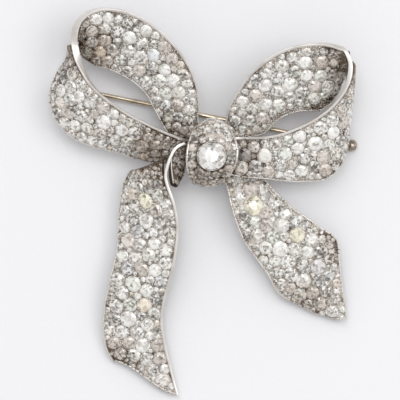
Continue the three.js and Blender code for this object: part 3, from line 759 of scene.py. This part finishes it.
LOOP_STEPS = TAIL_STEPS = 26  # steps along each solid sheet
FOLD_STEPS = 12
KNOT_STEPS = 18
ribbons = {
    "left_back": Ribbon("left_loop_back_band", LOOP_STEPS, 0.0, turn_width=1.2),
    "left_front": Ribbon("left_loop_front_band", LOOP_STEPS, 0.3, turn_width=1.2),
    "right_back": Ribbon("right_loop_back_band", LOOP_STEPS, 0.0, reach=0.9),
    "right_front": Ribbon("right_loop_front_band", LOOP_STEPS, 0.3),
    "left_tail": Ribbon("left_tail", TAIL_STEPS, 0.4, wave=0.6),
    "right_tail": Ribbon("right_tail", TAIL_STEPS, 0.5, last_slope=0.88),
    "fold": Ribbon("tail_fold", FOLD_STEPS, 0.0, FOLD_SHEET),
    "knot": Ribbon("knot_band", KNOT_STEPS, 0.45),
}


# ------------------------------------------------------------------ finishes

# Places of painted shade, with some real tarnish and soiling, each as middle, reach and amount: round the knot,
# inside the loops' turns and by some lower edges.
PAINTED_SHADE_AND_TARNISH_SPOTS = [
    (knot_middle - [6.5, -0.5, 3.0], 9.0, 1.1),
    (knot_middle - [0.0, 4.0, 1.0], 4.5, 0.8),
    (knot_middle + [4.5, -0.5, -3.0], 6.0, 0.7),
    *[(ribbons[key].face(np.array([u]), np.array([v]))[0], reach, amount) for key, u, v, reach, amount in (
        ("left_back", 0.97, 0.6, 7.0, 1.2), ("right_back", 0.97, 0.6, 5.5, 0.9),
        ("right_front", 0.45, 0.95, 4.0, 0.5), ("right_tail", 0.55, 1.0, 4.5, 0.7),
        ("right_tail", 0.8, 0.3, 5.0, 0.6), ("left_tail", 0.97, 0.9, 4.0, 0.8),
        ("left_front", 0.8, 1.0, 5.0, 0.6))],
]
setting_silver = worn_silver("setting_silver", "set_silver", (0.10, 0.075, 0.06), (0.46, 0.43, 0.40), 0.3,
                             painted_shade_and_soiling=0.2)
grain_silver = worn_silver("raised_grain_silver", "set_silver", (0.28, 0.22, 0.17), (0.80, 0.76, 0.71), 0.18,
                           painted_shade_and_soiling=0.18)
edge_silver = worn_silver("polished_edge_silver", "polished_silver", (0.68, 0.64, 0.60), (0.85, 0.82, 0.79),
                          0.3, 3.5, scratch_depth=0.012)
collet_silver = worn_silver("collet_silver", "polished_silver", (0.30, 0.26, 0.23), (0.78, 0.75, 0.72), 0.2)
back_silver = worn_silver("filed_back_silver", "set_silver", (0.30, 0.26, 0.23), (0.70, 0.67, 0.63), 0.28)
pale_gold = pale_gold_finish()
# The knob's dull metal is darkened further with painted shade.
knob_metal_with_painted_shade = worn_silver("dull_knob_metal_with_painted_shade", "pale_gold", (0.16, 0.12, 0.09), (0.50, 0.44, 0.37), 0.2, 0.7)
# After the tints come the size of the painted reflection cells and a lift that makes the painted reflections
# brighter.
small_diamond = diamond_finish("small_old_cut_diamond", TINTS, 0.34)
large_diamond = diamond_finish("large_old_cut_diamond", [CLEAR], 0.5, 0.07)
TINTED = {
    "yellow": (0.96, 0.93, 0.76),
    "champagne": (0.92, 0.83, 0.71),
    "rose": (0.89, 0.82, 0.78),
    "mauve": (0.82, 0.80, 0.81),
    "smoke": (0.42, 0.40, 0.40),
    "green": (0.90, 0.93, 0.88),
    "blue": (0.89, 0.92, 0.95),
}
tinted_diamonds = {name: diamond_finish(name + "_old_cut_diamond", [tint], 0.5, 0.05)
                   for name, tint in TINTED.items()}
# The centre stone has slightly darker painted reflections and little painted shade.
centre_finish = diamond_finish("centre_old_mine_diamond", [(0.98, 0.98, 0.99)], 0.6, -0.015, 0.15)


STONE_TINTS = {
    "left_back_diamond_6": "champagne", "left_front_diamond_1": "rose", "left_tail_diamond_1": "yellow",
    "left_tail_diamond_3": "rose", "left_tail_diamond_7": "champagne", "right_tail_diamond_1": "yellow",
    "right_tail_diamond_5": "mauve", "right_tail_diamond_3": "yellow", "right_front_diamond_1": "smoke",
    "left_back_diamond_4": "blue", "right_front_diamond_3": "green", "left_tail_diamond_6": "green",
    "right_back_diamond_4": "green",
}


def stone_finish(name):
    return tinted_diamonds[STONE_TINTS[name]] if name in STONE_TINTS else large_diamond


# ------------------------------------------------------------------ setting the ribbons

def loop_cap(u, v):
    """The largest stone radius: smaller near the knot, the turn and both edges."""
    across = 0.5 + 0.55 * np.sin(math.pi * v)
    return 1.25 * np.clip(0.25 + 1.8 * u, 0, 1) * np.clip(0.3 + 3.6 * (1 - u), 0, 1) * across


def right_back_cap(u, v):
    """As for a loop, with a plain border left along the lower edge."""
    ribbon = ribbons["right_back"]
    return np.minimum(loop_cap(u + 0.12, v), ((1 - v) * ribbon.width - PLAIN_BORDER) * 1.3)


def right_front_cap(u, v):
    return loop_cap(u + 0.2, v)


def left_tail_cap(u, v):
    """Only the smallest stones at the top of the left tail."""
    return 1.3 * np.clip(0.3 + 7 * (u - 0.1), 0.3, 1) * (0.6 + 0.45 * np.sin(math.pi * v))


def right_tail_cap(u, v):
    """Small stones along both edges and large ones between them."""
    return 1.3 * np.clip(0.3 + 3 * u, 0, 1) * (0.42 + 0.75 * np.clip(np.sin(math.pi * v) * 1.6 - 0.45, 0, 1))


def fold_cap(u, v):
    return np.full(len(u), FOLD_STONES)


def knot_cap(u, v):
    return np.full(len(u), KNOT_STONES)


def dress(key, cap, seed, extra_keep_off=()):
    """Cuts one ribbon's sheet and sets its stones and grains. Nothing is set in the places to keep off."""
    ribbon = ribbons[key]
    rng = np.random.default_rng(seed)
    named = sorted(name for name in frame["nodes"] if name.startswith(key + "_diamond"))
    held = [girdle(name) for name in named] + list(extra_keep_off)
    places = lay_out(ribbon, STONE_STEPS, held, STONE_GAP, EDGE_GAP, cap, seed)
    kept = np.array([(*ribbon.locate(middle), radius) for middle, radius in held]).reshape(-1, 3)
    holes = np.concatenate([kept, places])
    pierced_sheet(key + "_pierced_sheet", ribbon, holes, setting_silver)
    holes = holes[len(extra_keep_off):]
    set_stones(key, ribbon, holes, named, rng)
    around = list(zip(ribbon.face(*holes[:, :2].T), holes[:, 2])) + list(extra_keep_off)
    grains = lay_out(ribbon, GRAIN_STEPS, around, -0.05, 0.1, lambda u, v: np.full(len(u), 1.0), seed + 50)
    raise_grains(key + "_grains", ribbon, grains, grain_silver)


dress("left_back", loop_cap, 11)
dress("left_front", loop_cap, 12)
dress("right_back", right_back_cap, 13)
dress("right_front", right_front_cap, 14)
dress("left_tail", left_tail_cap, 15)
dress("right_tail", right_tail_cap, 16)
dress("fold", fold_cap, 17)
collet_reach = (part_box("centre_collet")[1].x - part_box("centre_collet")[0].x) / 2 / MM
dress("knot", knot_cap, 18, [(knot_middle, collet_reach - 0.2)])


# ------------------------------------------------------------------ polished edges and rims

def loop_strip(name, back, front, node):
    """The polished strip along the high edge of a loop, out on its back band and home on its front band."""
    path, sides, rises = [], [], []
    for ribbon, way, turn in ((ribbons[back], 1, 1), (ribbons[front], -1, -1)):
        u = np.linspace(0, 1, 70)[::way]
        half = ribbon.edge_width(u) / 2
        normal = ribbon.normals(u, np.zeros(70))
        edge = ribbon.face(u, np.zeros(70))
        inner = ribbon.face(u, np.full(70, 0.05))
        path.append(edge - normal * half[:, None])
        rises.append(unit(edge - inner))
        sides.append(normal * turn * half[:, None])
    path = soften(np.concatenate(path), 3)
    sides, rises = soften(np.concatenate(sides), 12), soften(np.concatenate(rises), 12)
    rises = unit(rises)
    sides = sides - (sides * rises).sum(1, keepdims=True) * rises
    points, faces = sweep(path, sides, rises, strip_section(1.0, STRIP_FOOT, STRIP_TOP, 0.2))
    made = piece(name, points, faces, edge_silver, smooth_angle=50)
    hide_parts(node)


loop_strip("left_loop_polished_strip", "left_back", "left_front", "left_loop_edge")
loop_strip("right_loop_polished_strip", "right_back", "right_front", "right_loop_edge")

tail_strip_path = np.concatenate([
    ribbons["fold"].face(np.linspace(0, 0.4, 6), np.zeros(6), -FOLD_SHEET / 2),
    ribbons["left_tail"].face(np.linspace(0.09, 1, 60), np.zeros(60), -SHEET / 2)])
tail_strip_path = soften(tail_strip_path, 4)
up = np.tile([0.0, 0.0, 1.0], (len(tail_strip_path), 1))
tail_sides = unit(np.cross(np.gradient(tail_strip_path, axis=0), up))
tail_sides *= np.linspace(0.27, 0.19, len(up))[:, None]
strip_points, strip_faces = sweep(tail_strip_path, tail_sides, up, strip_section(1.0, -0.2, 0.95, 0.3))
tail_strip = piece("left_tail_polished_strip", strip_points, strip_faces, edge_silver, smooth_angle=50)
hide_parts("left_tail_edge")

START, END = 0.005, 0.995
for key in ("left_back", "left_front", "right_back", "right_front"):
    rim_wire(key + "_rim", ribbons[key], [(0, END), (1, END)], edge_silver)
rim_wire("left_tail_rim", ribbons["left_tail"], [(0, END), (END, END), (END, 0.01)], edge_silver)
rim_wire("right_tail_rim", ribbons["right_tail"], [(0, END), (END, END), (END, START), (0, START)], edge_silver)
rim_wire("fold_rim", ribbons["fold"], [(0, 0.02), (1, 0.02)], edge_silver)
rim_wire("knot_left_rim", ribbons["knot"], [(0, 0.01), (1, 0.01)], edge_silver, 0.22)
rim_wire("knot_right_rim", ribbons["knot"], [(0, 0.99), (1, 0.99)], edge_silver, 0.22)


tip = ribbons["right_tail"].face(np.array([0.985]), np.array([0.5]), -0.15)[0]
piece("right_tail_tip_bead", BALL_POINTS * 0.5 + tip, BALL_FACES, edge_silver, smooth_angle=70, outward=False)


# ------------------------------------------------------------------ the centre setting

def centre_setting():
    low, high = (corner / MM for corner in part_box("centre_collet"))
    outer = collet_reach - 0.18
    top, bottom = high.z, low.z
    wall, taper = 0.22, 0.62
    hole = outer - wall
    lip = hole + 0.1
    profile = [(lip - 0.04, top), (hole + 0.03, top), (hole, top - 0.06), (hole, top - 0.3),
               (hole * taper, bottom + 0.05), (hole * taper + 0.05, bottom), (outer * taper - 0.05, bottom),
               (outer * taper, bottom + 0.06), (lip, top - 0.3), (lip, top - 0.04)]
    segments = 72
    points = [(knot_middle[0] + r * math.cos(a), knot_middle[1] + r * math.sin(a), z)
              for r, z in profile for a in np.arange(segments) * 2 * math.pi / segments]
    faces = ring_faces(len(profile), segments)
    made = piece("centre_collet_ring", points, faces, collet_silver, smooth_angle=40)
    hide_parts("centre_collet")
    claws = [knot_middle + np.array([math.cos(a), math.sin(a), 0]) * (outer - wall * 0.9) for a in
             (np.arange(8) + 0.5) * math.pi / 4]
    claw_points = [BALL_POINTS * [0.19, 0.19, 0.22] + [claw[0], claw[1], top + 0.02] for claw in claws]
    piece("centre_claws", np.concatenate(claw_points), ball_faces(len(claws)), grain_silver, smooth_angle=70,
          outward=False)
    low, high = (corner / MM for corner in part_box("centre_diamond"))
    width = high.x - low.x
    angles = np.arange(16) * math.pi / 8
    outline = width * 0.525 * cushion(angles, 2.5)
    points, faces = cut_stone(outline, 0.46, np.random.default_rng(5))
    seat = [*knot_middle[:2], low.z + 0.4 * width]
    stone = piece("centre_old_mine_stone", points + seat, faces, centre_finish)
    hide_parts("centre_diamond")


centre_setting()


# ------------------------------------------------------------------ pin, hinge and clasp

joints = {joint["name"]: joint for joint in frame["joints"]}
pivot = np.array(joints["pin_swing"]["pos_m"]) / MM
along_pin = -np.array(joints["clasp_slide"]["axis"])


def across_bow(points):
    """Moves points made along +X from the pivot to where the pin lies."""
    side = np.cross([0, 0, 1], along_pin)
    return pivot + points @ np.stack([along_pin, side, [0, 0, 1]])


def reach_of(node):
    """How far a node reaches along the pin, from the pivot."""
    along = (node_points(node) - pivot) @ along_pin
    return along.min(), along.max()


def pin():
    _, tip = reach_of("pin_stem")
    wire = PIN_WIRE
    profile = [(0.6, 0.0), (0.62, wire * 0.9), (0.7, wire), (tip - 7, wire), (tip - 5.2, wire * 0.93),
               (tip - 3.5, wire * 0.8), (tip - 2, wire * 0.6), (tip - 1, wire * 0.4),
               (tip - 0.3, wire * 0.18), (tip, 0.0)]
    points, faces = lathe(profile, 28)
    stem = piece("pin_wire", across_bow(points), faces, pale_gold, "pin", 40)
    inner, outer, half = KNUCKLE_HOLE, KNUCKLE, KNUCKLE_HALF_WIDTH
    section = [(inner, -half), (outer - 0.06, -half), (outer, -half + 0.06), (outer, half - 0.06),
               (outer - 0.06, half), (inner, half)]
    segments = 40
    points = [(r * math.cos(a), y, r * math.sin(a)) for r, y in section
              for a in np.arange(segments) * 2 * math.pi / segments]
    faces = ring_faces(len(section), segments)
    knuckle = piece("pin_knuckle", across_bow(np.array(points)), faces, pale_gold, "pin", 40)
    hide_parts("pin_stem")
    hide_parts("pin_stem")


def clasp_sleeve():
    start, end = reach_of("clasp_slider")
    knob = end - KNOB_LENGTH
    bore, sleeve, reach = SLEEVE_BORE, SLEEVE, KNOB
    profile = [(start + 3.0, 0.0), (start + 2.9, bore * 0.7), (start + 2.7, bore), (start + 0.06, bore),
               (start, bore + 0.06), (start, sleeve - 0.06), (start + 0.06, sleeve), (knob, sleeve),
               (knob, reach * 0.86), (knob + 0.08, reach * 0.96), (knob + 0.2, reach), (knob + 0.55, reach),
               (knob + 0.72, reach * 0.95), (knob + 0.92, reach * 0.82), (knob + 1.08, reach * 0.62),
               (knob + 1.2, reach * 0.3), (end, 0.0)]
    points, faces = lathe(profile, 40)
    made = piece("clasp_sleeve_and_knob", across_bow(points), faces, knob_metal_with_painted_shade, "clasp_sleeve", 35)
    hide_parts("clasp_slider")


pin()
clasp_sleeve()


# ------------------------------------------------------------------ finishes of the nodes that stay

def refinish(node, finish, bevel=None):
    stays = frame["nodes"][node]
    stays.data.materials.clear()
    stays.data.materials.append(finish.material)
    if bevel:
        soft = stays.modifiers.new("worn_edges", "BEVEL")
        soft.width = bevel * MM
        soft.segments = 3
        soft.limit_method = "ANGLE"
        soft.angle_limit = math.radians(40)


for node in ("knot_plate", "knot_core", "hinge_post", "clasp_post"):
    refinish(node, back_silver, 0.12)
for node in ("hinge_bracket", "clasp_tube"):
    refinish(node, pale_gold, 0.05)
refinish("hinge_rivet", pale_gold, 0.03)


# ------------------------------------------------------------------ table, light and camera

def table_top():
    finish = Finish("pale_table", "table")
    fibre = finish.noise(0.5, 3.0)
    colour = finish.ramp(fibre, [(0.2, (0.85, 0.855, 0.885)), (0.8, (0.87, 0.875, 0.905))])
    finish.surface(Base_Color=colour, Roughness=0.7)
    mesh = bpy.data.meshes.new("table_top")
    work = bmesh.new()
    bmesh.ops.create_grid(work, x_segments=8, y_segments=8, size=1.5)
    work.to_mesh(mesh)
    work.free()
    mesh.materials.append(finish.material)
    made = bpy.data.objects.new("table_top", mesh)
    bpy.context.scene.collection.objects.link(made)


def softbox(name, place, size, power, colour=(1, 1, 1)):
    light = bpy.data.lights.new(name, "AREA")
    light.shape = "DISK"
    light.size = size
    light.energy = power
    light.color = colour
    made = bpy.data.objects.new(name, light)
    made.location = place
    made.rotation_euler = (-Vector(place)).to_track_quat("-Z", "Y").to_euler()
    made.visible_camera = False
    bpy.context.scene.collection.objects.link(made)


def studio():
    world = bpy.data.worlds.new("studio_room")
    world.use_nodes = True
    world.node_tree.nodes["Background"].inputs["Color"].default_value = (1.0, 0.99, 0.975, 1)
    world.node_tree.nodes["Background"].inputs["Strength"].default_value = 0.66
    bpy.context.scene.world = world
    softbox("key_softbox", (-0.22, 0.5, 0.75), 0.5, 0.9)
    softbox("fill_softbox", (0.42, 0.1, 0.65), 0.45, 1.1, (1.0, 0.98, 0.96))
    softbox("top_softbox", (0.0, 0.25, 1.2), 0.6, 2.95)
    camera = bpy.data.cameras.new("camera")
    camera.sensor_width = SENSOR_WIDTH
    camera.lens = SENSOR_WIDTH * VIEW_DISTANCE / VIEW_WIDTH
    camera.clip_end = 10
    made = bpy.data.objects.new("camera", camera)
    made.location = (-0.00059, 0.00008, VIEW_DISTANCE * MM)
    bpy.context.scene.collection.objects.link(made)
    bpy.context.scene.camera = made
    bpy.context.scene.view_settings.view_transform = "Standard"


table_top()
studio()
